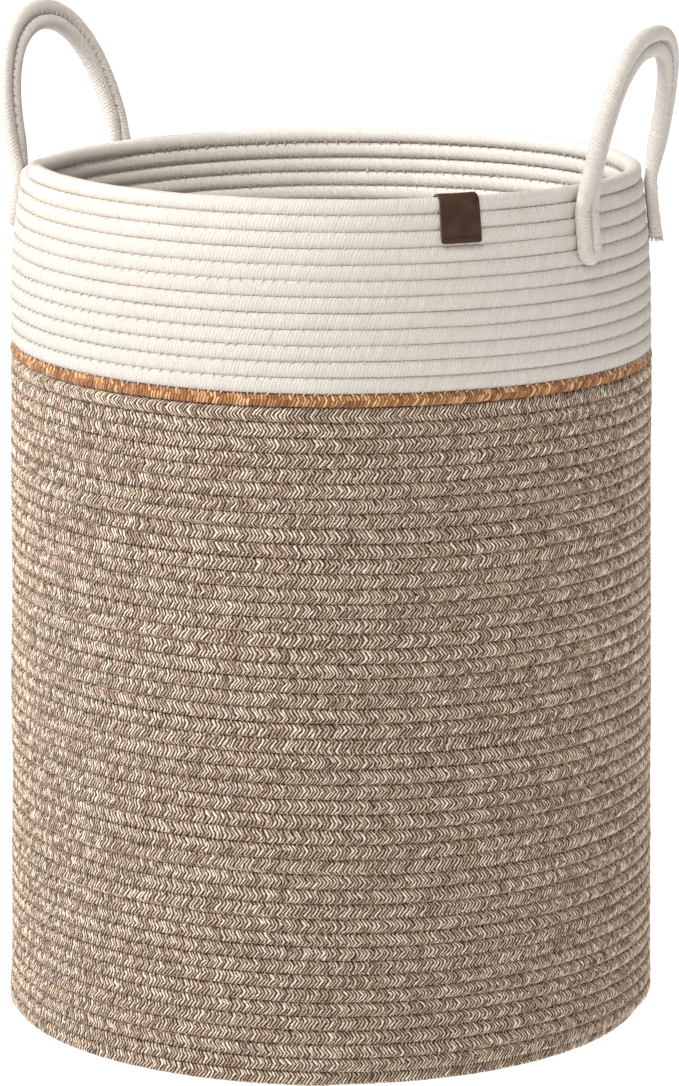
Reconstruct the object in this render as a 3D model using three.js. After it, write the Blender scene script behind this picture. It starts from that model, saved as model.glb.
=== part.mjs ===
// Rope laundry basket: a coiled-rope cylinder with two folding rope handles and a leather label.
// Millimetres, +Z up. The floor is z = 0, the basket's axis is the Z axis and the handles lie along X.
import * as THREE from "three";

// ---- driving dimensions ----
const ROPE = 8.8; // thickness of the coiled rope, and so of the wall
const GAP = 0.3; // air between neighbouring pieces
const FOOT_RADIUS = 191.2; // outside of the wall at the floor
const BAND_RADIUS = 187; // outside of the wall at the accent cord
const RIM_RADIUS = 179.8; // outside of the rim turn
const FOOT_ROUNDING = 8; // rounding of the wall's lower outer edge
const ACCENT_BOTTOM = 388.3;
const UPPER_BOTTOM = 396.2;
const RIM_BOTTOM = 494;
const RIM_TOP = 502.8;
const WALL_SEGMENTS = 72; // round the basket

// Degrees: each handle's middle round the basket, from there to the middle of one leg, and how far its loop leans
// outward at rest. Squareness 2 makes the loop half an ellipse, and more fills out its shoulders.
const HANDLES = {
  right: { middle: -3, leg: 19.5, lean: 12, squareness: 2.6 },
  left: { middle: 168.8, leg: 18.2, lean: 14, squareness: 2.15 },
};
const HANDLE_ROPE = 8.6; // thickness of one strand
const HINGE_HEIGHT = 500; // the legs flex here, level with the rim
const LOOP_RISE = 79; // from the hinge line to the middle of the doubled rope at its top
const LOOP_START = 6; // the swinging part begins this far past the hinge line
const LOOP_STANDOFF = 1.5; // the loop springs out this far from the line of its tails
const TAIL_TOP = HINGE_HEIGHT - 8;
const TAIL_BOTTOM = 458;
const TACK_HEIGHTS = { lower: 469, upper: 487 };
const SEAM_THREAD = 1.2;

const LABEL_ANGLE = THREE.MathUtils.degToRad(-49.9); // from +X, on the front of the basket
const LABEL_WIDTH = 24.2;
const LABEL_THICKNESS = 1.6;
const LABEL_DROP = 25.2; // length of each flap below the top of the rim
const LABEL_STITCH = { length: 19, thickness: 0.8, aboveEdge: 3 };

const strandSpacing = HANDLE_ROPE + GAP;

// ---- materials ----
const material = (color, roughness) => new THREE.MeshStandardMaterial({ color, roughness, metalness: 0 });
const brownRope = material("#9c8570", 0.95);
const creamRope = material("#e6e0d6", 0.95);
const tanCord = material("#b98449", 0.85);
const leather = material("#4a2e22", 0.6);
const creamThread = material("#ece8de", 0.8);
const darkThread = material("#2c1b14", 0.7);

const basket = new THREE.Group();

function add(name, geometry, finish, parent = basket) {
  const mesh = new THREE.Mesh(geometry, finish);
  mesh.name = name;
  parent.add(mesh);
  return mesh;
}

// Outer radius of the wall at a height: a straight taper up to the accent cord, then a lip that draws in.
function outerRadius(z) {
  if (z < UPPER_BOTTOM) return THREE.MathUtils.lerp(FOOT_RADIUS, BAND_RADIUS, z / UPPER_BOTTOM);
  const lip = Math.min(1, (z - UPPER_BOTTOM) / (RIM_TOP - ROPE / 2 - UPPER_BOTTOM));
  return BAND_RADIUS - (BAND_RADIUS - RIM_RADIUS) * lip ** 2.5;
}

// A ring with its profile given as points of radius and height, turned about the Z axis.
function ring(profile) {
  const closed = [...profile, profile[0]].map(([radius, z]) => new THREE.Vector2(radius, z));
  return new THREE.LatheGeometry(closed, WALL_SEGMENTS).rotateX(Math.PI / 2);
}

// A stretch of wall from one height to another, one rope thick, that follows outerRadius.
function wallRing(bottom, top, steps, rounding = 0) {
  const outside = [];
  for (let i = 0; i <= steps; i++) {
    const z = THREE.MathUtils.lerp(bottom + rounding, top, i / steps);
    outside.push([outerRadius(z), z]);
  }
  const inside = outside.map(([radius, z]) => [radius - ROPE, z]).reverse();
  const foot = [];
  for (let i = 0; i < 4 && rounding; i++) {
    const turn = (Math.PI / 2) * (i / 4);
    const radius = outside[0][0] - rounding * (1 - Math.sin(turn));
    foot.push([radius, bottom + rounding * (1 - Math.cos(turn))]);
  }
  if (rounding) inside.push([outside[0][0] - ROPE, bottom]);
  return ring([...foot, ...outside, ...inside]);
}

// The rim turn: a rope of eight-sided section.
function rimRing() {
  const profile = [];
  for (let i = 0; i < 8; i++) {
    const turn = ((i + 0.5) / 8) * 2 * Math.PI;
    const reach = ROPE / 2 / Math.cos(Math.PI / 8);
    const middle = (RIM_TOP + RIM_BOTTOM) / 2;
    profile.push([RIM_RADIUS - ROPE / 2 + reach * Math.cos(turn), middle + reach * Math.sin(turn)]);
  }
  return ring(profile);
}

function base() {
  const radius = outerRadius(0) - ROPE - GAP;
  return new THREE.CylinderGeometry(radius, radius, ROPE, WALL_SEGMENTS)
    .rotateX(Math.PI / 2)
    .translate(0, 0, ROPE / 2);
}

// A round rope along a curve.
function rope(curve, thickness, steps) {
  const section = new THREE.Shape().absarc(0, 0, thickness / 2, 0, 2 * Math.PI);
  const options = { steps, curveSegments: 10, bevelEnabled: false, extrudePath: curve };
  return new THREE.ExtrudeGeometry(section, options);
}

// One strand of a handle's loop in the handle's own frame: X outward, Y along the hinge line, origin on it.
// The loop is a half oval that leans outward; offset moves the strand out from the middle of the rope.
function loopCurve({ halfSpan, lean, squareness }, offset, lift = 0) {
  const rise = LOOP_RISE + offset;
  const reach = halfSpan + offset;
  const power = 2 / squareness;
  const first = Math.asin((LOOP_START / rise) ** (1 / power));
  const points = [];
  for (let i = 0; i <= 16; i++) {
    const turn = THREE.MathUtils.lerp(first, Math.PI - first, i / 16);
    const up = rise * Math.sin(turn) ** power;
    const across = -reach * Math.sign(Math.cos(turn)) * Math.abs(Math.cos(turn)) ** power;
    const x = up * Math.sin(lean) + lift * Math.cos(lean);
    const z = up * Math.cos(lean) - lift * Math.sin(lean);
    points.push(new THREE.Vector3(x, across, z));
  }
  return new THREE.CatmullRomCurve3(points);
}

// A point of a tail: on the outside of the wall, at a height and an angle from the handle's middle.
function tailPoint(angle, z) {
  const radius = outerRadius(z) + HANDLE_ROPE / 2 + GAP;
  return new THREE.Vector3(radius * Math.cos(angle), radius * Math.sin(angle), z);
}

const strandAngle = strandSpacing / 2 / (BAND_RADIUS + HANDLE_ROPE / 2);

// The front tail: the rope comes down the wall, turns round and goes up again beside itself.
function uTurnTail(angle) {
  const bend = strandSpacing / 2;
  const bendHeight = TAIL_BOTTOM + HANDLE_ROPE / 2 + bend;
  const points = [tailPoint(angle - strandAngle, TAIL_TOP)];
  for (let i = 0; i <= 6; i++) {
    const turn = Math.PI * (i / 6);
    const height = bendHeight - bend * Math.sin(turn);
    points.push(tailPoint(angle - strandAngle * Math.cos(turn), height));
  }
  points.push(tailPoint(angle + strandAngle, TAIL_TOP));
  return rope(new THREE.CatmullRomCurve3(points), HANDLE_ROPE, 28);
}

// One cut end of the back tail.
function cutTail(angle) {
  const heights = [TAIL_TOP, (TAIL_TOP + TAIL_BOTTOM) / 2, TAIL_BOTTOM];
  const curve = new THREE.CatmullRomCurve3(heights.map((z) => tailPoint(angle, z)));
  return rope(curve, HANDLE_ROPE, 6);
}

// A tack: a bar of thread across both strands of a tail.
function tack(angle, z) {
  const width = 1.6 * strandSpacing;
  const surface = outerRadius(z) + HANDLE_ROPE + 2 * GAP + SEAM_THREAD / 2;
  const bar = new THREE.BoxGeometry(SEAM_THREAD, width, SEAM_THREAD);
  return bar.translate(surface, 0, z).rotateZ(angle);
}

// A handle: tails and tacks fixed to the wall, and a loop that swings about the hinge line.
function handle(side) {
  const { squareness } = HANDLES[side];
  const [middle, legAngle, lean] = ["middle", "leg", "lean"].map((key) => THREE.MathUtils.degToRad(HANDLES[side][key]));
  const fixed = new THREE.Group();
  fixed.rotation.z = middle;
  basket.add(fixed);
  const loop = new THREE.Group();
  const legRadius = outerRadius(TAIL_TOP) + HANDLE_ROPE / 2 + GAP + LOOP_STANDOFF;
  loop.position.set(legRadius * Math.cos(legAngle), 0, HINGE_HEIGHT);
  fixed.add(loop);

  const shape = { halfSpan: legRadius * Math.sin(legAngle), lean, squareness };
  const half = strandSpacing / 2;
  add(`${side}_handle_outer_strand`, rope(loopCurve(shape, half), HANDLE_ROPE, 44), creamRope, loop);
  add(`${side}_handle_inner_strand`, rope(loopCurve(shape, -half), HANDLE_ROPE, 44), creamRope, loop);
  const seam = rope(loopCurve(shape, 0, HANDLE_ROPE / 2 - SEAM_THREAD), SEAM_THREAD, 44);
  add(`${side}_handle_seam`, seam, creamThread, loop);

  // the front leg is the one towards -Y, whichever side the handle is on
  const front = side === "right" ? -legAngle : legAngle;
  add(`${side}_handle_front_tail`, uTurnTail(front), creamRope, fixed);
  add(`${side}_handle_back_tail_1`, cutTail(-front - strandAngle), creamRope, fixed);
  add(`${side}_handle_back_tail_2`, cutTail(-front + strandAngle), creamRope, fixed);
  for (const [height, z] of Object.entries(TACK_HEIGHTS)) {
    add(`${side}_handle_front_tack_${height}`, tack(front, z), creamThread, fixed);
    add(`${side}_handle_back_tack_${height}`, tack(-front, z), creamThread, fixed);
  }
}

// The leather strip folded over the rim, drawn in the plane through the axis and extruded sideways.
function label() {
  const edge = RIM_TOP - LABEL_DROP;
  const top = RIM_TOP + GAP;
  const outsideFoot = outerRadius(edge) + 2 * GAP;
  const outsideTop = RIM_RADIUS + 2 * GAP;
  const insideTop = RIM_RADIUS - ROPE - 3 * GAP;
  const insideFoot = outerRadius(edge) - ROPE - 5 * GAP;
  const shape = new THREE.Shape([
    new THREE.Vector2(outsideFoot, edge),
    new THREE.Vector2(outsideFoot + LABEL_THICKNESS, edge),
    new THREE.Vector2(outsideTop + LABEL_THICKNESS, top - 2),
    new THREE.Vector2(outsideTop - 1, top + LABEL_THICKNESS),
    new THREE.Vector2(insideTop + 1, top + LABEL_THICKNESS),
    new THREE.Vector2(insideTop - LABEL_THICKNESS, top - 2),
    new THREE.Vector2(insideFoot - LABEL_THICKNESS, edge),
    new THREE.Vector2(insideFoot, edge),
    new THREE.Vector2(insideTop, RIM_BOTTOM),
    new THREE.Vector2(insideTop, top),
    new THREE.Vector2(outsideTop, top),
    new THREE.Vector2(outsideTop, top - 3),
  ]);
  return new THREE.ExtrudeGeometry(shape, { depth: LABEL_WIDTH, bevelEnabled: false })
    .translate(0, 0, -LABEL_WIDTH / 2)
    .rotateX(Math.PI / 2)
    .rotateZ(LABEL_ANGLE);
}

function labelStitch() {
  const { length, thickness, aboveEdge } = LABEL_STITCH;
  const edge = RIM_TOP - LABEL_DROP;
  const face = outerRadius(edge) + 2 * GAP + LABEL_THICKNESS;
  return new THREE.BoxGeometry(thickness, length, thickness)
    .translate(face + GAP + thickness / 2, 0, edge + aboveEdge)
    .rotateZ(LABEL_ANGLE);
}

add("base_coil", base(), brownRope);
add("lower_wall_coil", wallRing(0, ACCENT_BOTTOM - GAP, 6, FOOT_ROUNDING), brownRope);
add("accent_cord", wallRing(ACCENT_BOTTOM, UPPER_BOTTOM - GAP, 1), tanCord);
add("upper_wall_coil", wallRing(UPPER_BOTTOM, RIM_BOTTOM - GAP, 8), creamRope);
add("rim_coil", rimRing(), creamRope);
add("leather_label", label(), leather);
add("label_stitch", labelStitch(), darkThread);
handle("right");
handle("left");

export default basket;
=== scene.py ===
"""Looks of the rope laundry basket: the sewn spiral of braided rope, its handles, threads and leather label.

Lengths are in millimetres until a mesh is made, and angles in radians. Angles round the basket are from +X.
The rope is followed in turns: the wall begins at 0.5, on the side of the camera, and each whole turn more is
the same place one coil up."""

import math

import bpy
import numpy as np
from mathutils import Euler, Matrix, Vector


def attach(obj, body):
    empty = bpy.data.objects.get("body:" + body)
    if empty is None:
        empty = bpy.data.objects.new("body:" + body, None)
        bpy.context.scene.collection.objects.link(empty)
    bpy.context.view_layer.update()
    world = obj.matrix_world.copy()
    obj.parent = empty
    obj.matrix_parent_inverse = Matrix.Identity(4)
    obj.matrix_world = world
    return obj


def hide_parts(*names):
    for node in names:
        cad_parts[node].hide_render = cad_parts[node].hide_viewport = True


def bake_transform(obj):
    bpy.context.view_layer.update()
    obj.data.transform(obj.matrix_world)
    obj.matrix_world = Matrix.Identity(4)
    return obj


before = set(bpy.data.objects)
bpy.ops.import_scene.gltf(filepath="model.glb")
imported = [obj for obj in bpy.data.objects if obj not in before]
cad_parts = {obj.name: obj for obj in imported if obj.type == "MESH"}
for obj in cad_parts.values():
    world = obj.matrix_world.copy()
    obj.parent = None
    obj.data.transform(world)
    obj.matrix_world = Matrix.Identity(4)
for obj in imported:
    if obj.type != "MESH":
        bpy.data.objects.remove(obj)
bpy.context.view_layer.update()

MM = 0.001
TAU = 2 * math.pi

# ---- the basket, as part.mjs has it ----
ROPE = 8.8
FOOT_RADIUS, BAND_RADIUS, RIM_RADIUS = 191.2, 187.0, 179.8
UPPER_BOTTOM, RIM_TOP = 396.2, 502.8
HANDLES = {
    "right": {
        "middle": math.radians(-3), "leg": math.radians(19.5), "lean": math.radians(12), "squareness": 2.6,
    },
    "left": {
        "middle": math.radians(168.8), "leg": math.radians(18.2), "lean": math.radians(14), "squareness": 2.15,
    },
}
HANDLE_ROPE = 8.6
HANDLE_GAP = 0.3
HINGE_HEIGHT = 500.0
LOOP_RISE = 79.0
LOOP_START = 6.0
LOOP_STANDOFF = 1.5
TAIL_TOP, TAIL_BOTTOM = 492.0, 458.0
TACK_HEIGHTS = {"lower": 469.0, "upper": 487.0}
LABEL_ANGLE = math.radians(-49.9)
LABEL_WIDTH, LABEL_THICKNESS, LABEL_DROP = 24.2, 1.4, 25.2

CAMERA_SIDE = math.radians(17)  # the camera stands this far to the right of the basket's front

# ---- the coil: turns where the colour or the pitch changes, and the height of the rope's middle there ----
COIL_TURNS = (0, 12, 27, 46, 47, 59.2)
COIL_HEIGHTS = (0, 96.8, 226.5, 388.3, 396.1, 504.7)
WALL_START = 1.0  # the pieces of the base and the wall meet here, at the back
BROWN_END, TAN_END = 46.0, 47.0
RIM_START, RIM_END = 57.7, 58.715
CHEVRON_FLIP = 44.6  # the brown chevrons turn round here
BASE_START = -21.2
BASE_HEIGHT = 4.15
BASE_PITCH = 8.35
TUCK_DISTANCE = 8.3  # from the middle of the base's last turn to that of the wall's first
TUCK_CLIMB = 8.07  # how far the wall's first turn climbs
TURN_LENGTH = 1150  # about one turn of the wall


def outer_radius(z):
    """Outside of the wall at a height: a straight taper up to the accent cord, then a lip that draws in."""
    lip = np.clip((z - UPPER_BOTTOM) / (RIM_TOP - ROPE / 2 - UPPER_BOTTOM), 0, 1)
    taper = FOOT_RADIUS + (BAND_RADIUS - FOOT_RADIUS) * np.minimum(z / UPPER_BOTTOM, 1)
    return taper - (BAND_RADIUS - RIM_RADIUS) * lip**2.5


def angle_at(turns):
    """The rope climbs clockwise seen from above."""
    return CAMERA_SIDE - math.pi / 2 - TAU * (turns - 0.5)


def coil_height(turns):
    return np.interp(turns, COIL_TURNS, COIL_HEIGHTS)


def waves(seed, around, along, count=9):
    """A smooth random function of an angle and a height, about 1 at its largest."""
    rng = np.random.default_rng(seed)
    rounds = rng.integers(1, around + 1, count)
    climbs = rng.uniform(-1, 1, count) * TAU / along
    starts = rng.uniform(0, TAU, count)
    sizes = rng.uniform(0.4, 1, count)

    def value(angle, z):
        total = 0
        for m, climb, start, size in zip(rounds, climbs, starts, sizes):
            total = total + size * np.sin(m * angle + climb * z + start)
        return total / (0.6 * sizes.sum())

    return value


sag = waves(11, 5, 160)
bulge = waves(12, 6, 90)
ripple = waves(13, 23, 14)


def wall_line(turns):
    """Radius and height of the rope's middle, and half its height, for the wall and the base."""
    angle = angle_at(turns)
    z = coil_height(np.maximum(turns, 0.5))
    low, high = coil_height(turns - 0.5), coil_height(turns + 0.5)
    half = np.where(turns > 0.5, (high - low) / 2, BASE_HEIGHT)
    settled = np.clip((z - 4) / 30, 0, 1)
    z = z + 0.45 * sag(angle, z) * settled + 0.12 * ripple(angle, z) * settled
    wall = outer_radius(z) - ROPE / 2 + 0.5 * bulge(angle, z) + 0.16 * ripple(angle + 1, z)
    # the foot spreads a little on the floor at the front left
    wall = wall + 2.6 * np.exp(-z / 16) * np.clip(np.cos(angle - math.radians(-138)), 0, 1) ** 2
    # the last turn of the base rolls up under the first turn of the wall
    roll = np.clip(turns + 0.5, 0, 1)
    rolled = wall - np.sqrt(np.maximum(TUCK_DISTANCE**2 - (TUCK_CLIMB * roll) ** 2, 0))
    flat = FOOT_RADIUS - ROPE / 2 - TUCK_DISTANCE + BASE_PITCH * (turns + 0.5)
    base = np.where(turns > -0.5, rolled, flat)
    radius = np.where(turns > 0.5, wall, np.maximum(base, 0.8))
    z = np.where(turns > 0.5, z, BASE_HEIGHT)
    return radius, z, half


# ---- meshes ----
def make_mesh(name, points, faces, material):
    """faces is a list of pairs: the corners of some faces, all with the same number of them, and their uv."""
    mesh = bpy.data.meshes.new(name)
    mesh.vertices.add(len(points))
    mesh.vertices.foreach_set("co", (np.asarray(points) * MM).astype(np.float32).ravel())
    corners = np.concatenate([f.ravel() for f, _ in faces])
    sizes = np.concatenate([np.full(len(f), f.shape[1]) for f, _ in faces])
    mesh.loops.add(len(corners))
    mesh.loops.foreach_set("vertex_index", corners.astype(np.int32))
    mesh.polygons.add(len(sizes))
    starts = np.concatenate([[0], np.cumsum(sizes)[:-1]])
    mesh.polygons.foreach_set("loop_start", starts.astype(np.int32))
    mesh.polygons.foreach_set("use_smooth", np.full(len(sizes), True))
    layer = mesh.uv_layers.new(name="strand")
    spots = np.concatenate([np.asarray(t).reshape(-1, 2) for _, t in faces])
    layer.data.foreach_set("uv", spots.astype(np.float32).ravel())
    mesh.update(calc_edges=True)
    mesh.validate()
    mesh.materials.append(material)
    made = bpy.data.objects.new(name, mesh)
    bpy.context.scene.collection.objects.link(made)
    return made


def tube_faces(columns, rows, u, v_scale):
    """Faces of a tube of columns by rows points, its ends shut by fans. u is each column's place along it."""
    c, r = np.meshgrid(np.arange(columns - 1), np.arange(rows), indexing="ij")
    c, r = c.ravel(), r.ravel()
    n = (r + 1) % rows
    quads = np.stack([c * rows + r, c * rows + n, (c + 1) * rows + n, (c + 1) * rows + r], 1)
    v0, v1 = r * v_scale, (r + 1) * v_scale
    corners = ((u[c], v0), (u[c], v1), (u[c + 1], v1), (u[c + 1], v0))
    spots = np.stack([np.stack(corner, 1) for corner in corners], 1)
    ring = np.arange(rows)
    nxt = (ring + 1) % rows
    start_hub, end_hub = columns * rows, columns * rows + 1
    last = (columns - 1) * rows
    fans = np.concatenate([
        np.stack([nxt, ring, np.full(rows, start_hub)], 1),
        np.stack([last + ring, last + nxt, np.full(rows, end_hub)], 1),
    ])
    fan_u = np.repeat([u[0], u[-1]], rows)
    fan_v = np.concatenate([ring, ring]) * v_scale
    fan_spots = np.repeat(np.stack([fan_u, fan_v], 1)[:, None], 3, 1)
    return (quads, spots), (fans, fan_spots)


def section(phi, power):
    """Outward and upward reach of the rope's rounded-square section, 1 along the axes."""
    c, s = np.cos(phi), np.sin(phi)
    reach = (np.abs(c) ** power + np.abs(s) ** power) ** (-1 / power)
    return c * reach, s * reach


def triangle(x):
    """0 at even numbers and 1 at odd ones, and straight between them."""
    return 1 - np.abs(1 - np.mod(x, 2))


ROWS = 12  # points round a rope's section


def arm_noise(rng, strand, arm_rows):
    """A random number from -1 to 1 for each arm of each strand, at every point of the rope."""
    own = rng.uniform(-1, 1, (strand.max() + 1, ROWS // arm_rows))
    return own[strand][:, np.arange(ROWS) // arm_rows]


def strand_slip(columns, per_strand, arm_rows, size, seed):
    """How far each strand lies along the rope from its even place, arm by arm."""
    rng = np.random.default_rng(seed)
    return size * arm_noise(rng, np.arange(columns) // per_strand, arm_rows)


def strand_relief(columns, per_strand, arm_rows, depth, seed):
    """Height of the braid at each point: strands are per_strand columns wide, and dip where they cross."""
    rng = np.random.default_rng(seed)
    column = np.arange(columns)
    row = np.arange(ROWS)
    strand, place = column // per_strand, column % per_strand
    painted_gap_shade = (place == 0)[:, None]
    own = arm_noise(rng, strand, arm_rows)
    crossing = (row % arm_rows == 0)[None]
    height = depth * (0.3 * own + np.where(painted_gap_shade, -0.75, 0.35) - 0.3 * crossing)
    return height + 0.12 * depth * rng.normal(0, 1, (columns, ROWS))


def spiral_columns(first_turn, last_turn, spacing):
    """Turns at even spacing along the rope, with slow random stretches so that coils don't line up."""
    fine = np.linspace(first_turn, last_turn, 40000)
    radius, _, _ = wall_line(fine)
    stretch = 1 + 0.05 * np.sin(fine * 5.3) + 0.04 * np.sin(fine * 13.7 + 2)
    steps = (radius[1:] + radius[:-1]) / 2 * TAU * np.diff(fine) * ((stretch[1:] + stretch[:-1]) / 2)
    length = np.concatenate([[0], np.cumsum(steps)])
    count = round(length[-1] / spacing) + 1
    return np.interp(np.linspace(0, length[-1], count), length, fine)


def spiral_rope(
    names, material, slot, node, first_turn, last_turn, spacing, per_strand, arm_rows, slant, depth, roll,
    seed, power=2.7, tip=False, slip=0.0, press=0.12,
):
    """A stretch of the coil as one braided rope, cut into pieces of even length. tip rounds off its end."""
    turns = spiral_columns(first_turn, last_turn, spacing)
    columns = len(turns)
    radius, _, _ = wall_line(turns)
    row = np.arange(ROWS)
    slips = strand_slip(columns, per_strand, arm_rows, slip, seed + 5)
    shift = (slant * triangle(row / arm_rows)[None] + slips) / (TAU * radius[:, None])
    inside = np.clip(np.minimum(turns - first_turn, last_turn - turns) * TAU * radius / 8, 0, 1)[:, None]
    at = turns[:, None] + shift * inside
    centre, z, half = wall_line(at)
    phi = TAU * row[None] / ROWS + roll(turns)[:, None]
    relief = strand_relief(columns, per_strand, arm_rows, depth, seed)
    out, up = section(phi, power)
    grow = 1.0
    if tip:
        left = np.clip((last_turn - turns) * TAU * radius / 7, 0, 1)[:, None]
        grow = np.sqrt(np.clip(1 - (1 - left) ** 2, 0.02, 1))
    reach = (ROPE / 2 + relief) * grow
    lift = (half + press + 0.5 * relief) * grow
    angle = angle_at(at)
    r = centre + out * reach
    points = np.stack([r * np.cos(angle), r * np.sin(angle), np.maximum(z + up * lift, 0.02)], -1)
    hubs_r, hubs_z, _ = wall_line(turns)
    hubs = np.stack([hubs_r * np.cos(angle_at(turns)), hubs_r * np.sin(angle_at(turns)), hubs_z], -1)
    u = np.arange(columns) / per_strand
    cuts = np.linspace(0, columns - 1, len(names) + 1).round().astype(int)
    for name, a, b in zip(names, cuts[:-1], cuts[1:]):
        part = points[a : b + 1].reshape(-1, 3)
        part = np.concatenate([part, hubs[[a, b]]])
        faces = tube_faces(b - a + 1, ROWS, u[a : b + 1], 1 / arm_rows)
        piece = make_mesh(name, part, faces, material)
        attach(piece, "basket")
        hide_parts(node)


# ---- materials ----
class Nodes:
    """Short calls for building a node tree."""

    def __init__(self, name):
        self.material = bpy.data.materials.new(name)
        self.material.use_nodes = True
        self.tree = self.material.node_tree
        self.shader = self.tree.nodes["Principled BSDF"]

    def add(self, kind, inputs=None, **settings):
        node = self.tree.nodes.new(kind)
        for key, value in settings.items():
            setattr(node, key, value)
        for key, value in (inputs or {}).items():
            self.put(node.inputs[key], value)
        return node

    def put(self, socket, value):
        if isinstance(value, bpy.types.NodeSocket):
            self.tree.links.new(value, socket)
        else:
            socket.default_value = value

    def math(self, operation, a, b=0.0, c=0.0):
        return self.add("ShaderNodeMath", {0: a, 1: b, 2: c}, operation=operation).outputs[0]

    def noise(self, inputs):
        return self.add("ShaderNodeTexNoise", inputs).outputs["Fac"]

    def mix(self, factor, a, b):
        node = self.add("ShaderNodeMix", data_type="RGBA")
        for index, value in ((0, factor), (6, a), (7, b)):
            self.put(node.inputs[index], value)
        return node.outputs[2]

    def ramp(self, value, stops):
        node = self.add("ShaderNodeValToRGB", {"Fac": value})
        ramp = node.color_ramp
        while len(ramp.elements) < len(stops):
            ramp.elements.new(0.5)
        for element, (place, colour) in zip(ramp.elements, stops):
            element.position = place
            element.color = colour
        return node.outputs["Color"]

    def finish(self, colour, roughness, height=None, strength=0.5, distance=0.3, sheen=0.0):
        self.put(self.shader.inputs["Base Color"], colour)
        self.shader.inputs["Roughness"].default_value = roughness
        self.shader.inputs["Specular IOR Level"].default_value = 0.25
        if sheen:
            self.shader.inputs["Sheen Weight"].default_value = sheen
            self.shader.inputs["Sheen Roughness"].default_value = 0.6
        if height is not None:
            settings = {"Height": height, "Strength": strength, "Distance": distance * MM}
            bump = self.add("ShaderNodeBump", settings)
            self.put(self.shader.inputs["Normal"], bump.outputs["Normal"])
        return self.material


def grey(value):
    return (value, value, value, 1)


def colour(red, green, blue):
    """An sRGB colour, 0 to 255, as a linear one."""
    def linear(c):
        c /= 255
        return c / 12.92 if c <= 0.04045 else ((c + 0.055) / 1.055) ** 2.4
    return (linear(red), linear(green), linear(blue), 1)


def yarn_material(
    name, yarns, dark, low, mid, high, contrast, bump, gap_edges=(0.12, 0.62), gap_wander=0.0, own_share=1.0,
    wander=0.35, fibre=0.35,
):
    """Braided yarn. The uv map 'strand' runs 1 a strand along the rope and 1 an arm of the zigzag round it.

    dark is the colour of the painted shade in the gaps between yarns, and its fourth number is how much of it
    shows."""
    n = Nodes(name)
    uv = n.add("ShaderNodeUVMap", uv_map="strand").outputs["UV"]
    split = n.add("ShaderNodeSeparateXYZ", {0: uv})
    u, v = split.outputs[0], split.outputs[1]
    place = n.add("ShaderNodeTexCoord").outputs["Object"]
    warp = n.noise({"Vector": place, "Scale": 260.0, "Detail": 1.0})
    along = n.math("ADD", u, n.math("MULTIPLY", n.math("SUBTRACT", warp, 0.5), wander))
    yarn = n.math("MULTIPLY", along, yarns)
    in_yarn = n.math("FRACT", yarn)
    profile = n.math("SINE", n.math("MULTIPLY", in_yarn, math.pi))
    key = n.add("ShaderNodeCombineXYZ", {0: n.math("FLOOR", yarn), 1: n.math("FLOOR", v)}).outputs[0]
    own = n.add("ShaderNodeTexWhiteNoise", {"Vector": key}, noise_dimensions="2D").outputs["Value"]
    # each strand's own number moves it to another part of the noise, or strands in a row form blotches
    streak_x = n.math("MULTIPLY_ADD", own, 37.0, yarn)
    streak_y = n.math("MULTIPLY_ADD", own, 23.0, n.math("MULTIPLY", v, 1.7))
    streak_at = n.add("ShaderNodeCombineXYZ", {0: streak_x, 1: streak_y}).outputs[0]
    streak = n.noise({"Vector": streak_at, "Scale": 2.1, "Detail": 3.0, "Roughness": 0.7})
    fuzz = n.noise({"Vector": place, "Scale": 1500.0, "Detail": 2.0, "Roughness": 0.6})
    tone = n.math("MULTIPLY_ADD", n.math("SUBTRACT", own, 0.5), contrast * own_share, 0.5)
    tone = n.math("MULTIPLY_ADD", n.math("SUBTRACT", streak, 0.5), contrast * 1.1, tone)
    tone = n.math("MULTIPLY_ADD", n.math("SUBTRACT", fuzz, 0.5), contrast * (0.3 + 0.5 * fibre), tone)
    body = n.ramp(tone, [(0.12, low), (0.5, mid), (0.85, high)])
    # painted shade: towards each yarn's edges the colour is mixed towards dark, as shade in the gaps between
    # yarns
    shown = n.math("MULTIPLY_ADD", n.math("SUBTRACT", streak, 0.5), 2 * gap_wander, profile)
    gap_in = {"Value": shown, "From Min": gap_edges[0], "From Max": gap_edges[1]}
    painted_gap_shade = n.add("ShaderNodeMapRange", {**gap_in, "To Min": 1.0, "To Max": 0.0}).outputs["Result"]
    shade = n.mix(n.math("MULTIPLY", painted_gap_shade, dark[3]), body, dark[:3] + (1,))
    height = n.math("MULTIPLY_ADD", fuzz, fibre, profile)
    return n.finish(shade, 0.95, height, bump, 0.35, sheen=0.15)


# the first colour of each yarn is its painted shade in the gaps between yarns, its fourth number how much of it
# shows
brown_yarn = yarn_material(
    "brown_braid", 1.0, colour(42, 28, 19)[:3] + (0.97,),
    colour(131, 102, 82), colour(213, 187, 163), colour(255, 241, 221), 0.85, 1.0, (0.46, 0.96),
    gap_wander=0.4, own_share=0.6, wander=0.75,
)
cream_yarn = yarn_material(
    "cream_braid", 1.0, colour(178, 164, 147)[:3] + (0.42,),
    colour(198, 189, 179), colour(213, 206, 198), colour(228, 223, 216), 0.5, 0.7, (0.05, 0.5),
    gap_wander=0.4, own_share=0.3, wander=0.8, fibre=2.6,
)
tan_yarn = yarn_material(
    "tan_braid", 2.0, colour(78, 45, 22)[:3] + (0.85,),
    colour(132, 82, 45), colour(178, 122, 76), colour(236, 190, 140), 0.62, 1.0, (0.25, 0.8),
    gap_wander=0.25,
)
cream_thread = yarn_material(
    "cream_thread", 3.0, colour(150, 140, 126)[:3] + (0.3,),
    colour(192, 185, 175), colour(212, 206, 198), colour(228, 224, 218), 0.4, 0.3,
)
beige_thread = yarn_material(
    "beige_thread", 3.0, colour(80, 60, 42)[:3] + (0.4,),
    colour(120, 98, 76), colour(168, 144, 118), colour(214, 194, 168), 0.6, 0.3,
)
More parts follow.
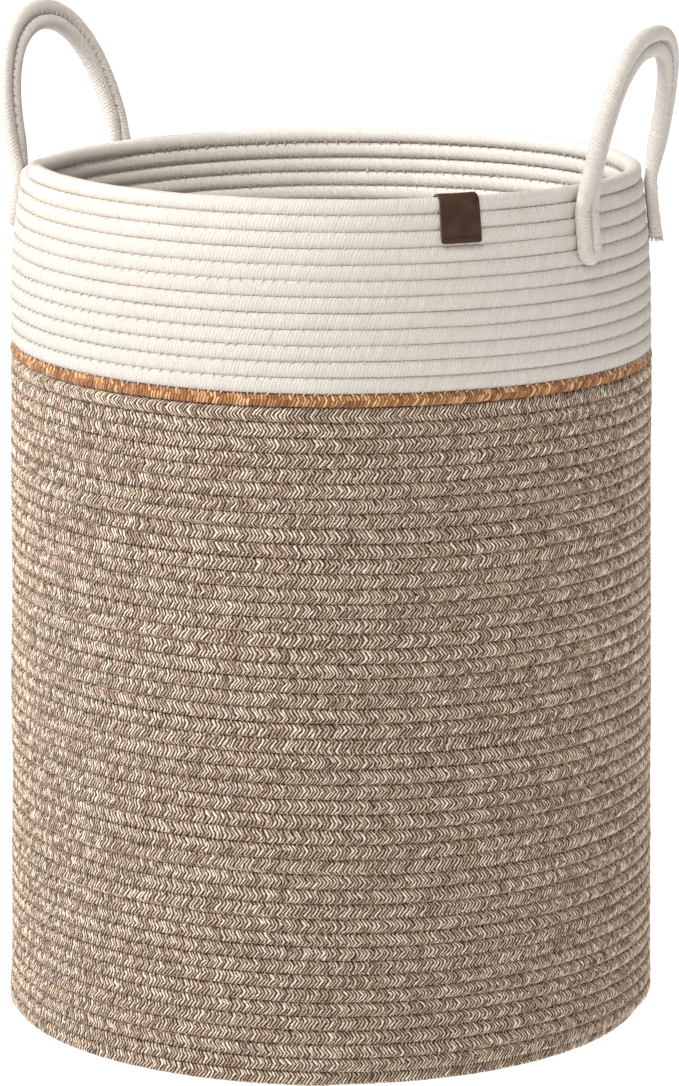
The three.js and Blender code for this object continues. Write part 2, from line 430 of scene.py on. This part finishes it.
dark_thread = yarn_material(
    "dark_thread", 3.0, colour(12, 8, 6)[:3] + (0.4,),
    colour(12, 8, 6), colour(20, 13, 9), colour(34, 24, 18), 0.5, 0.3,
)


def leather_material():
    """Dark waxed leather: pebbled grain, darker blotches and a paler cut edge, as the attribute 'edge' says."""
    n = Nodes("label_leather")
    place = n.add("ShaderNodeTexCoord").outputs["Object"]
    blotch = n.noise({"Vector": place, "Scale": 90.0, "Detail": 3.0})
    pebbles = n.add("ShaderNodeTexVoronoi", {"Vector": place, "Scale": 1300.0}, feature="DISTANCE_TO_EDGE")
    fine = n.noise({"Vector": place, "Scale": 2600.0, "Detail": 2.0})
    body = n.ramp(blotch, [(0.3, colour(43, 24, 13)), (0.5, colour(59, 35, 21)), (0.72, colour(80, 51, 33))])
    rubbed = n.mix(n.math("MULTIPLY", n.math("SUBTRACT", fine, 0.35), 0.25), body, colour(100, 68, 46))
    edge = n.add("ShaderNodeAttribute", attribute_name="edge").outputs["Fac"]
    shade = n.mix(edge, rubbed, colour(118, 92, 72))
    crease_in = {"Value": pebbles.outputs["Distance"], "From Max": 0.12}
    creases = n.add("ShaderNodeMapRange", crease_in).outputs["Result"]
    height = n.math("MULTIPLY_ADD", fine, 0.4, creases)
    made = n.finish(shade, 0.55, height, 0.35, 0.12)
    n.shader.inputs["Specular IOR Level"].default_value = 0.3
    return made


label_leather = leather_material()


# ---- the coil ----
def gentle_roll(seed, size, offset=0.0):
    rng = np.random.default_rng(seed)
    starts = rng.uniform(0, TAU, 4)

    def roll(turns):
        total = sum(np.sin(turns * f + s) for f, s in zip((1.7, 4.1, 7.9, 13.3), starts))
        return offset + size * total / 2

    return roll


brown_roll = gentle_roll(31, 0.3)


def wall_roll(turns):
    """The chevrons point the other way on the top brown turn."""
    return 0.2 + brown_roll(turns) + math.pi / 3 * np.clip((turns - CHEVRON_FLIP) / 0.3, 0, 1)


BROWN_BRAID = {
    "spacing": 1.05, "per_strand": 2, "arm_rows": 2, "slant": 3.1, "depth": 0.6, "roll": wall_roll, "slip": 0.5,
}
TAN_BRAID = {
    "spacing": 1.3, "per_strand": 3, "arm_rows": 3, "slant": 2.6, "depth": 0.8,
    "roll": gentle_roll(32, 0.1, 0.35), "slip": 0.3, "power": 2.3,
}
CREAM_BRAID = {
    "spacing": 1.0, "per_strand": 2, "arm_rows": 6, "slant": -5.4, "depth": 0.11,
    "roll": gentle_roll(33, 0.25, -math.pi / 2),
}

spiral_rope(
    ["base_turns_inner", "base_turns_outer"], brown_yarn, "brown_rope", "base_coil",
    BASE_START, WALL_START, seed=20, **BROWN_BRAID,
)
spiral_rope(
    [f"lower_wall_turns_{i:02d}" for i in range(1, 14)], brown_yarn, "brown_rope", "lower_wall_coil",
    WALL_START, BROWN_END, seed=21, **BROWN_BRAID,
)
spiral_rope(["accent_cord_turn"], tan_yarn, "tan_cord", "accent_cord", BROWN_END, TAN_END, seed=22, **TAN_BRAID)
spiral_rope(
    [f"upper_wall_turns_{i}" for i in range(1, 4)], cream_yarn, "cream_rope", "upper_wall_coil",
    TAN_END, RIM_START, seed=23, power=3.5, press=0.42, **CREAM_BRAID,
)
spiral_rope(
    ["rim_turn"], cream_yarn, "cream_rope", "rim_coil",
    RIM_START, RIM_END, seed=24, power=3.0, tip=True, **CREAM_BRAID,
)


# ---- threads ----
def threads(name, lines, normals, thickness, material, seed, corners=5):
    """One mesh of many short threads: lines is count by steps by 3, and normals has a direction across each."""
    rng = np.random.default_rng(seed)
    count, steps = lines.shape[:2]
    along = np.gradient(lines, axis=1)
    along /= np.linalg.norm(along, axis=2)[..., None]
    up = normals[:, None] - (normals[:, None] * along).sum(2)[..., None] * along
    up /= np.linalg.norm(up, axis=2)[..., None]
    across = np.cross(along, up)
    turn = np.arange(corners) / corners * TAU
    fat = thickness / 2 * rng.uniform(0.85, 1.15, count)[:, None, None, None]
    ring = (up[:, :, None] * np.cos(turn)[:, None] + across[:, :, None] * np.sin(turn)[:, None]) * fat
    points = (lines[:, :, None] + ring).reshape(-1, 3)
    per = steps * corners
    first = per * np.arange(count)[:, None, None]
    c, k = (g.ravel() for g in np.meshgrid(np.arange(steps - 1), np.arange(corners), indexing="ij"))
    n = (k + 1) % corners
    one = np.stack([c * corners + k, c * corners + n, (c + 1) * corners + n, (c + 1) * corners + k], 1)
    quads = (one[None] + first).reshape(-1, 4)
    ends = np.array([list(range(corners))[::-1], [per - corners + j for j in range(corners)]])
    caps = (ends[None] + first).reshape(-1, corners)
    own = rng.uniform(0, 50, count)
    one_u = np.stack([c, c, c + 1, c + 1], 1) * 0.6
    one_uv = np.stack([one_u, np.stack([k, k + 1, k + 1, k], 1) / corners], -1)
    quad_uv = np.repeat(one_uv[None], count, 0)
    quad_uv[..., 0] += own[:, None, None]
    cap_uv = np.zeros((len(caps), corners, 2))
    cap_uv[..., 0] = np.repeat(own, 2)[:, None]
    piece = make_mesh(name, points, [(quads, quad_uv), (caps, cap_uv)], material)
    return piece


BOW_STEPS = np.array([0, 0.2, 0.5, 0.8, 1.0])
BOW_DIP = np.array([1.3, 0.1, 0.9, 0.1, 1.3])


def bowed(low, high, normals, sunk):
    """Lines from points low to points high that dive in at both ends and dip over the groove between."""
    line = low[:, None] + (high - low)[:, None] * BOW_STEPS[None, :, None]
    return line - normals[:, None] * (sunk * BOW_DIP)[None, :, None]


def groove_ticks(
    name, first_turn, last_turn, seed, spacing, length, thickness, material, slot, proud=0.1, inside=False,
):
    """Stitches across the groove above each turn from first_turn to last_turn, one mesh."""
    rng = np.random.default_rng(seed)
    turns = spiral_columns(first_turn, last_turn, spacing)
    turns = turns + rng.normal(0, 0.1 * spacing / TURN_LENGTH, len(turns))
    lean = np.where(rng.uniform(0, 1, len(turns)) < 0.8, 1, -1) * rng.uniform(0.4, 1.0, len(turns))
    size = length * rng.uniform(0.8, 1.2, len(turns)) / 2
    sign = -1 if inside else 1
    lower_r, lower_z, lower_half = wall_line(turns)
    upper_r, upper_z, upper_half = wall_line(turns + 1)
    groove = (lower_z + lower_half + upper_z - upper_half) / 2
    face = angle_at(turns)

    def end(way, radius):
        r = radius + sign * (ROPE / 2 - 0.15 + proud)
        angle = face + way * lean / r
        return np.stack([r * np.cos(angle), r * np.sin(angle), groove + way * size], 1)

    out = np.stack([np.cos(face), np.sin(face), np.zeros_like(face)], 1) * sign
    lines = bowed(end(-1, lower_r), end(1, upper_r), out, 0.8)
    piece = threads(name, lines, out, thickness, material, seed + 100)
    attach(piece, "basket")


LAST_GROOVE = RIM_END - 1.02  # the groove under the end of the rim
BROWN_TICKS = {"material": beige_thread, "slot": "brown_rope"}
CREAM_TICKS = {
    "spacing": 6.6, "length": 2.3, "thickness": 0.72,
    "material": cream_thread, "slot": "cream_thread", "proud": -0.25,
}

for index, (a, b) in enumerate(((0.6, 16), (16, 31), (31, 45.4)), 1):
    groove_ticks(f"lower_wall_stitches_{index}", a, b, 40 + index, 6.7, 3.2, 0.75, **BROWN_TICKS)
groove_ticks("accent_cord_stitches", 45.9, 46.4, 45, 6.7, 2.6, 0.5, cream_thread, "cream_thread")
groove_ticks("upper_wall_stitches", 46.4, LAST_GROOVE, 46, **CREAM_TICKS)
groove_ticks("upper_wall_inside_stitches", 46.4, LAST_GROOVE, 47, inside=True, **CREAM_TICKS)
groove_ticks("lower_wall_inside_stitches", 0.6, 46.2, 48, 12.5, 3.0, 0.9, inside=True, **BROWN_TICKS)


# ---- handles ----
def smooth_line(points, spacing, rounds=3, count=None):
    """Rows of numbers, the first three a place, at even spacing along a rounded-off polyline."""
    line = np.asarray(points, float)
    for _ in range(rounds):
        cut = np.empty((2 * len(line), line.shape[1]))
        cut[0], cut[-1] = line[0], line[-1]
        cut[1:-1:2] = 0.75 * line[:-1] + 0.25 * line[1:]
        cut[2:-1:2] = 0.25 * line[:-1] + 0.75 * line[1:]
        line = cut
    length = np.concatenate([[0], np.cumsum(np.linalg.norm(np.diff(line[:, :3], axis=0), axis=1))])
    even = np.linspace(0, length[-1], count or round(length[-1] / spacing) + 1)
    return np.stack([np.interp(even, length, column) for column in line.T], 1)


def braided_line(line, width, depth_way, per_strand, arm_rows, slant_columns, relief_depth, seed, power=2.9):
    """Points and faces of a braided rope.

    A row of line is a place, the way its face looks, how thick it is that way and how wide it is across."""
    place, normal, thick = line[:, :3], line[:, 3:6], line[:, 6] * depth_way
    along = np.gradient(place, axis=0)
    along /= np.linalg.norm(along, axis=1)[:, None]
    normal = normal - (normal * along).sum(1)[:, None] * along
    normal /= np.linalg.norm(normal, axis=1)[:, None]
    across = np.cross(along, normal)
    columns = len(line)
    row = np.arange(ROWS)
    ends = np.clip(np.minimum(np.arange(columns), np.arange(columns)[::-1]) / 8, 0, 1)[:, None]
    at = np.arange(columns)[:, None] + slant_columns * triangle(row / arm_rows)[None] * ends
    at = np.clip(at, 0, columns - 1)
    relief = strand_relief(columns, per_strand, arm_rows, relief_depth, seed)
    low = np.floor(at).astype(int)
    high = np.minimum(low + 1, columns - 1)
    part = at - low

    def sample(values):
        weight = part[..., None] if values.ndim == 2 else part
        return values[low] * (1 - weight) + values[high] * weight

    out, side = section(TAU * row / ROWS, power)
    wide = width * sample(line[:, 7])
    points = sample(place) + sample(normal) * (out[None] * (sample(thick) + relief))[..., None]
    points = points + sample(across) * (side[None] * (wide + relief))[..., None]
    points = np.concatenate([points.reshape(-1, 3), place[[0, -1]]])
    return points, tube_faces(columns, ROWS, np.arange(columns) / per_strand, 1 / arm_rows)


STRAND_HALF = (HANDLE_ROPE + HANDLE_GAP) / 2
TAIL_RADIUS = BAND_RADIUS + HANDLE_ROPE / 2
TAIL_FLATNESS = 0.84  # a tail is pressed flat by its stitching


class Handle:
    """The shape of one handle: a doubled rope that loops over the rim, and its tails on the wall."""

    def __init__(self, side):
        own = HANDLES[side]
        self.middle, self.leg_angle, self.lean = own["middle"], own["leg"], own["lean"]
        self.power = 2 / own["squareness"]
        self.front = 1 if side == "left" else -1  # the way round to the front leg
        self.leg_radius = float(outer_radius(TAIL_TOP)) + HANDLE_ROPE / 2 + HANDLE_GAP + LOOP_STANDOFF
        self.half_span = self.leg_radius * math.sin(self.leg_angle)
        self.out = np.array([math.cos(self.middle), math.sin(self.middle), 0])
        self.along = np.array([-math.sin(self.middle), math.cos(self.middle), 0]) * self.front
        self.face = self.out * math.cos(self.lean) - np.array([0, 0, math.sin(self.lean)])

    def loop(self, offset, turn, lift=0.0):
        """Half an oval that leans outward, from the front leg at turn 0 to the back leg at half a turn."""
        rise, reach, power = LOOP_RISE + offset, self.half_span + offset, self.power
        up = rise * np.sin(turn) ** power
        across = reach * np.sign(np.cos(turn)) * np.abs(np.cos(turn)) ** power
        out = self.leg_radius * math.cos(self.leg_angle) + up * math.sin(self.lean)
        z = HINGE_HEIGHT + up * math.cos(self.lean)
        place = self.out * out[:, None] + self.along * across[:, None] + np.array([0, 0, 1.0]) * z[:, None]
        return place + self.face * lift

    def tail(self, leg, offset, z, lift=0.0):
        """Points of a tail. leg is 1 at the front, -1 at the back. offset is away from the handle's middle."""
        z = np.atleast_1d(np.asarray(z, float))
        angle = self.middle + self.front * leg * (self.leg_angle + np.asarray(offset) / TAIL_RADIUS)
        pressed = np.clip((TAIL_TOP + 2 - z) / 14, 0, 1)
        radius = outer_radius(z) + HANDLE_ROPE / 2 * (1 - (1 - TAIL_FLATNESS) * pressed) + HANDLE_GAP + lift
        return np.stack([radius * np.cos(angle), radius * np.sin(angle), z + 0 * radius], 1)

    def tail_normal(self, leg, count):
        angle = self.middle + self.front * leg * self.leg_angle
        return np.tile([math.cos(angle), math.sin(angle), 0], (count, 1))

    def rope_line(self):
        """From one cut end over the loop as its outer strand, round the front tail, and back as the inner one."""
        first = math.asin((1.7 * LOOP_START / LOOP_RISE) ** (1 / self.power))
        turns = np.linspace(first, math.pi - first, 60)
        up = np.linspace(TAIL_BOTTOM, TAIL_TOP - 2, 8)
        bend_z = TAIL_BOTTOM + HANDLE_ROPE / 2 + STRAND_HALF
        down = np.linspace(TAIL_TOP - 2, bend_z + 3, 6)
        bend = np.concatenate([
            self.tail(1, STRAND_HALF * math.cos(t), bend_z - STRAND_HALF * math.sin(t))
            for t in np.linspace(0, math.pi, 9)
        ])

        def rows(place, normal, thick, wide):
            thick, wide = (np.broadcast_to(v, len(place))[:, None] for v in (thick, wide))
            return np.concatenate([place, normal, thick, wide], 1)

        def face(count):
            return np.tile(self.face, (count, 1))

        flared = 1 + 0.22 * np.clip(1 - (up - TAIL_BOTTOM) / 8, 0, 1)
        front, back = self.tail_normal(1, len(bend)), self.tail_normal(-1, len(up))
        return np.concatenate([
            rows(self.tail(-1, STRAND_HALF, up), back, TAIL_FLATNESS * flared, flared),
            rows(self.loop(STRAND_HALF, turns[::-1]), face(len(turns)), 1.0, 1.0),
            rows(self.tail(1, STRAND_HALF, down), front[: len(down)], TAIL_FLATNESS, 1.03),
            rows(bend, front, TAIL_FLATNESS, 1.03),
            rows(self.tail(1, -STRAND_HALF, down[::-1]), front[: len(down)], TAIL_FLATNESS, 1.03),
            rows(self.loop(-STRAND_HALF, turns), face(len(turns)), 1.0, 1.0),
            rows(self.tail(-1, -STRAND_HALF, up[::-1]), back, TAIL_FLATNESS * flared[::-1], flared[::-1]),
        ])

    def across_tail(self, leg, z, seed):
        """Lines of a tack: three threads over both strands."""
        offsets = np.linspace(-1.9, 1.9, 13) * STRAND_HALF
        rng = np.random.default_rng(seed)
        over = np.abs(np.abs(offsets) - STRAND_HALF) / STRAND_HALF
        lift = HANDLE_ROPE / 2 * TAIL_FLATNESS * np.sqrt(np.clip(1 - over**2.6, 0, 1)) - 0.1
        lines = []
        for step in (-0.9, 0.0, 0.9):
            slope = rng.uniform(-0.5, 0.5)
            heights = z + step + slope * offsets / 8
            spots = zip(offsets, heights, np.maximum(lift, -1.5))
            lines.append(np.concatenate([self.tail(leg, o, h, lift=k) for o, h, k in spots]))
        return lines

    def seam(self, seed):
        """Ticks across the groove between the strands, on both faces of the loop and down each tail."""
        rng = np.random.default_rng(seed)
        lines, normals = [], []
        spread, top = 1.6, 3.75
        for turn in np.linspace(0.2, math.pi - 0.2, 36):
            for way in (1, -1):
                slip = rng.uniform(-0.012, 0.012)
                low = self.loop(-spread, np.array([turn + slip]), way * top)
                high = self.loop(spread, np.array([turn - slip]), way * top)
                normal = (self.face * way)[None]
                lines.append(bowed(low, high, normal, 0.8))
                normals.append(normal)
        for leg in (1, -1):
            normal = self.tail_normal(leg, 1)
            for z in np.arange(TACK_HEIGHTS["lower"] + 3, TAIL_TOP + 2, 3.1):
                slip = rng.uniform(-0.6, 0.6)
                lift = top * TAIL_FLATNESS
                low = self.tail(leg, -spread, z - slip, lift)
                high = self.tail(leg, spread, z + slip, lift)
                lines.append(bowed(low, high, normal, 0.8))
                normals.append(normal)
        return np.concatenate(lines), np.concatenate(normals)

    def frayed(self, seed):
        """Loose fibres out of the two cut ends."""
        rng = np.random.default_rng(seed)
        lines, count = [], 90
        down = np.array([0, 0, -1.0])
        out = self.tail_normal(-1, 1)[0]
        side = np.cross(down, out)
        for offset in (STRAND_HALF, -STRAND_HALF):
            for _ in range(count):
                turn, away = rng.uniform(0, TAU), math.sqrt(rng.uniform(0, 1))
                root = self.tail(-1, offset, TAIL_BOTTOM + 2.5)[0]
                root = root + (out * math.cos(turn) * 4.0 + side * math.sin(turn) * 4.6) * away
                spread = (out * math.cos(turn) * 0.8 + side * math.sin(turn)) * away * rng.uniform(0.1, 0.5)
                spread = spread + rng.normal(0, 0.08, 3)
                reach = rng.uniform(3.0, 5.5)
                steps = np.linspace(0, 1, 4)[:, None]
                lines.append(root + down * reach * steps + spread * reach * steps**2)
        return np.array(lines), np.tile(out, (len(lines), 1))


def build_handle(side, seed):
    handle = Handle(side)
    line = smooth_line(handle.rope_line(), 1.0)
    points, faces = braided_line(line, HANDLE_ROPE / 2 + 0.1, HANDLE_ROPE / 2, 2, 6, -4.2, 0.12, seed)
    rope = make_mesh(f"{side}_handle_rope", points, faces, cream_yarn)
    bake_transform(rope)
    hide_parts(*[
        f"{side}_handle_{part}"
        for part in ("outer_strand", "inner_strand", "front_tail", "back_tail_1", "back_tail_2")
    ])
    lines, normals = handle.seam(seed + 10)
    seam_name = f"{side}_handle_seam_stitches"
    seam = threads(seam_name, lines, normals, 0.62, cream_thread, seed + 20)
    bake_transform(seam)
    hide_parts(f"{side}_handle_seam")
    for end, leg in (("front", 1), ("back", -1)):
        for level, z in TACK_HEIGHTS.items():
            lines = np.array(handle.across_tail(leg, z, seed + 30 + leg))
            name = f"{side}_handle_{end}_tack_{level}"
            facing = handle.tail_normal(leg, len(lines))
            tack = threads(f"{name}_thread", lines, facing, 0.75, cream_thread, seed + 40)
            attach(tack, "basket")
            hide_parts(name)
    lines, normals = handle.frayed(seed + 50)
    fibres_name = f"{side}_handle_frayed_ends"
    fibres = threads(fibres_name, lines, normals, 0.42, cream_yarn, seed + 60, corners=4)
    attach(fibres, "basket")


for number, side in enumerate(("right", "left")):
    build_handle(side, 60 + number)


# ---- label ----
LABEL_FACE = 182  # about the radius of the wall's face at the label, to turn widths into angles


def label_path(count):
    """Radius and height of the middle of the leather, from its outer foot over the rim to its inner foot."""
    foot = RIM_TOP - LABEL_DROP
    middle_r, middle_z = RIM_RADIUS - ROPE / 2, RIM_TOP - ROPE / 2
    off = 0.3 + LABEL_THICKNESS / 2
    rise = np.linspace(foot, middle_z, 24)
    outside = np.stack([outer_radius(rise) + off, rise], 1)
    arc = np.linspace(0, math.pi, 25)[1:-1]
    bend = ROPE / 2 + off
    over = np.stack([middle_r + bend * np.cos(arc), middle_z + bend * np.sin(arc)], 1)
    inside = np.stack([outer_radius(rise) - ROPE - off, rise], 1)[::-1]
    path = np.concatenate([np.insert(p, 1, 0, axis=1) for p in (outside, over, inside)])
    return smooth_line(path, 0.0, 2, count)[:, [0, 2]]


def build_label():
    """A strip of leather folded over the rim, with rounded corners and a face that is not quite flat."""
    columns, rows = 130, 56
    path = label_path(columns)
    along = np.gradient(path, axis=0)
    along /= np.linalg.norm(along, axis=1)[:, None]
    normal = np.stack([along[:, 1], -along[:, 0]], 1)
    length = np.concatenate([[0], np.cumsum(np.linalg.norm(np.diff(path, axis=0), axis=1))])
    from_end = np.minimum(length, length[-1] - length)
    corner = 1.6
    narrow = corner - np.sqrt(np.maximum(corner**2 - np.maximum(corner - from_end, 0) ** 2, 0))
    thin = np.sqrt(np.clip(1 - (1 - np.minimum(from_end / 0.5, 1)) ** 2, 0.05, 1))
    turn = TAU * (np.arange(rows) + 0.5) / rows
    broad, deep = section(turn, 9.0)
    buckle = waves(71, 4, 30)
    wave = 0.18 * buckle(turn[None], length[:, None]) + 0.12 * np.sin(length / 5.5)[:, None]
    across = broad[None] * (LABEL_WIDTH / 2 - narrow)[:, None]
    lift = deep[None] * (LABEL_THICKNESS / 2 * thin)[:, None]
    lift = lift + wave * np.clip(from_end / 4, 0, 1)[:, None] * 0.6
    curl = 0.5 * np.clip(1 - length / 7, 0, 1) ** 2
    radius = path[:, :1] + normal[:, :1] * (lift + curl[:, None])
    z = path[:, 1:] + normal[:, 1:] * lift
    angle = LABEL_ANGLE + across / LABEL_FACE
    points = np.stack([radius * np.cos(angle), radius * np.sin(angle), z], -1).reshape(-1, 3)
    hub_r, hub_z = path[[0, -1]].T
    hubs = np.stack([hub_r * math.cos(LABEL_ANGLE), hub_r * math.sin(LABEL_ANGLE), hub_z], 1)
    faces = tube_faces(columns, rows, length, 0.5)
    piece = make_mesh("leather_label_strip", np.concatenate([points, hubs]), faces, label_leather)
    edge = np.where(broad < -0.97, 0.8, np.where(broad > 0.985, 0.5, 0.0))
    edge = np.concatenate([np.tile(edge, columns), [0.8, 0.8]])
    piece.data.attributes.new("edge", "FLOAT", "POINT").data.foreach_set("value", edge.astype(np.float32))
    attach(piece, "basket")
    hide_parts("leather_label")


build_label()


def build_label_stitch():
    """Close stitches in a row near the label's lower edge."""
    z = RIM_TOP - LABEL_DROP + 3.2
    face = float(outer_radius(z)) + 0.45 + LABEL_THICKNESS
    steps = np.linspace(0, 1, 7)
    dip = np.array([0.55, 0.15, 0.0, 0.0, 0.0, 0.15, 0.55]) * 0.8
    lines = []
    for start in np.arange(-10.8, 8.0, 3.65):
        angle = LABEL_ANGLE + (start + 3.6 * steps) / LABEL_FACE
        r = face + 0.12 - dip
        lines.append(np.stack([r * np.cos(angle), r * np.sin(angle), np.full(7, z)], 1))
    normal = np.tile([math.cos(LABEL_ANGLE), math.sin(LABEL_ANGLE), 0], (len(lines), 1))
    lines = np.array(lines)
    piece = threads("label_stitch_thread", lines, normal, 0.8, dark_thread, 80, corners=8)
    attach(piece, "basket")
    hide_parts("label_stitch")


build_label_stitch()


# ---- camera, floor and light ----
def place_camera():
    data = bpy.data.cameras.new("camera")
    data.sensor_width = 36
    data.lens = 171.7
    camera = bpy.data.objects.new("camera", data)
    bpy.context.scene.collection.objects.link(camera)
    bpy.context.scene.camera = camera
    away, height, down, aside = 2.9934, 0.892, math.radians(11.66), 0.0049
    front = Vector((away * math.sin(CAMERA_SIDE), -away * math.cos(CAMERA_SIDE), height))
    right = Vector((math.cos(CAMERA_SIDE), math.sin(CAMERA_SIDE), 0))
    camera.location = front + right * aside
    camera.rotation_euler = Euler((math.pi / 2 - down, 0, CAMERA_SIDE))
    data.clip_end = 100


def hang_lamp(name, data, position, target):
    lamp = bpy.data.objects.new(name, data)
    bpy.context.scene.collection.objects.link(lamp)
    lamp.location = position
    lamp.rotation_euler = (Vector(target) - Vector(position)).to_track_quat("-Z", "Y").to_euler()


def area_light(name, position, target, size, power, tint):
    data = bpy.data.lights.new(name, "AREA")
    data.shape = "DISK"
    data.size = size
    data.energy = power
    data.color = tint
    hang_lamp(name, data, position, target)


def spot_light(name, position, target, cone, power):
    """A narrow light over the front rim, onto the inside of the back wall."""
    data = bpy.data.lights.new(name, "SPOT")
    data.energy = power
    data.spot_size = cone
    data.spot_blend = 0.8
    data.shadow_soft_size = 0.06
    hang_lamp(name, data, position, target)


def place_floor():
    n = Nodes("floor")
    speckle = n.noise({"Scale": 3.0, "Detail": 2.0})
    tone = n.ramp(speckle, [(0.3, grey(0.46)), (0.7, grey(0.5))])
    n.shader.inputs["Emission Color"].default_value = (1, 1, 1, 1)
    n.shader.inputs["Emission Strength"].default_value = 0.88
    size = 30.0
    mesh = bpy.data.meshes.new("floor")
    corners = [(-size, -size, 0), (size, -size, 0), (size, size, 0), (-size, size, 0)]
    mesh.from_pydata(corners, [], [(0, 1, 2, 3)])
    mesh.materials.append(n.finish(tone, 0.9))
    floor = bpy.data.objects.new("floor", mesh)
    bpy.context.scene.collection.objects.link(floor)


def light_scene():
    world = bpy.data.worlds.new("studio")
    bpy.context.scene.world = world
    world.use_nodes = True
    tree = world.node_tree
    background = tree.nodes["Background"]
    background.inputs["Color"].default_value = (1, 0.985, 0.965, 1)
    background.inputs["Strength"].default_value = 0.4
    # what stands behind the basket is white like the floor, and doesn't light it
    backdrop = tree.nodes.new("ShaderNodeBackground")
    backdrop.inputs["Color"].default_value = (1, 1, 1, 1)
    seen = tree.nodes.new("ShaderNodeLightPath").outputs["Is Camera Ray"]
    either = tree.nodes.new("ShaderNodeMixShader")
    for socket, output in zip(either.inputs, (seen, background.outputs[0], backdrop.outputs[0])):
        tree.links.new(output, socket)
    tree.links.new(either.outputs[0], tree.nodes["World Output"].inputs["Surface"])
    area_light("key", (-2.5, -1.5, 2.3), (0, 0, 0.3), 1.5, 98, (1, 1, 1))
    area_light("fill", (0.9, -2.6, 1.9), (0, 0, 0.4), 1.8, 14, (1, 0.93, 0.86))
    area_light("above", (0.0, -1.5, 2.9), (0, 0.15, 0.4), 1.0, 28, (1, 0.99, 0.975))
    spot_light("snoot", (-0.15, -1.0, 1.5), (0, 0.17, 0.45), math.radians(19), 66)
    bpy.context.scene.view_settings.view_transform = "Standard"
    bpy.context.scene.view_settings.look = "None"


place_camera()
place_floor()
light_scene()
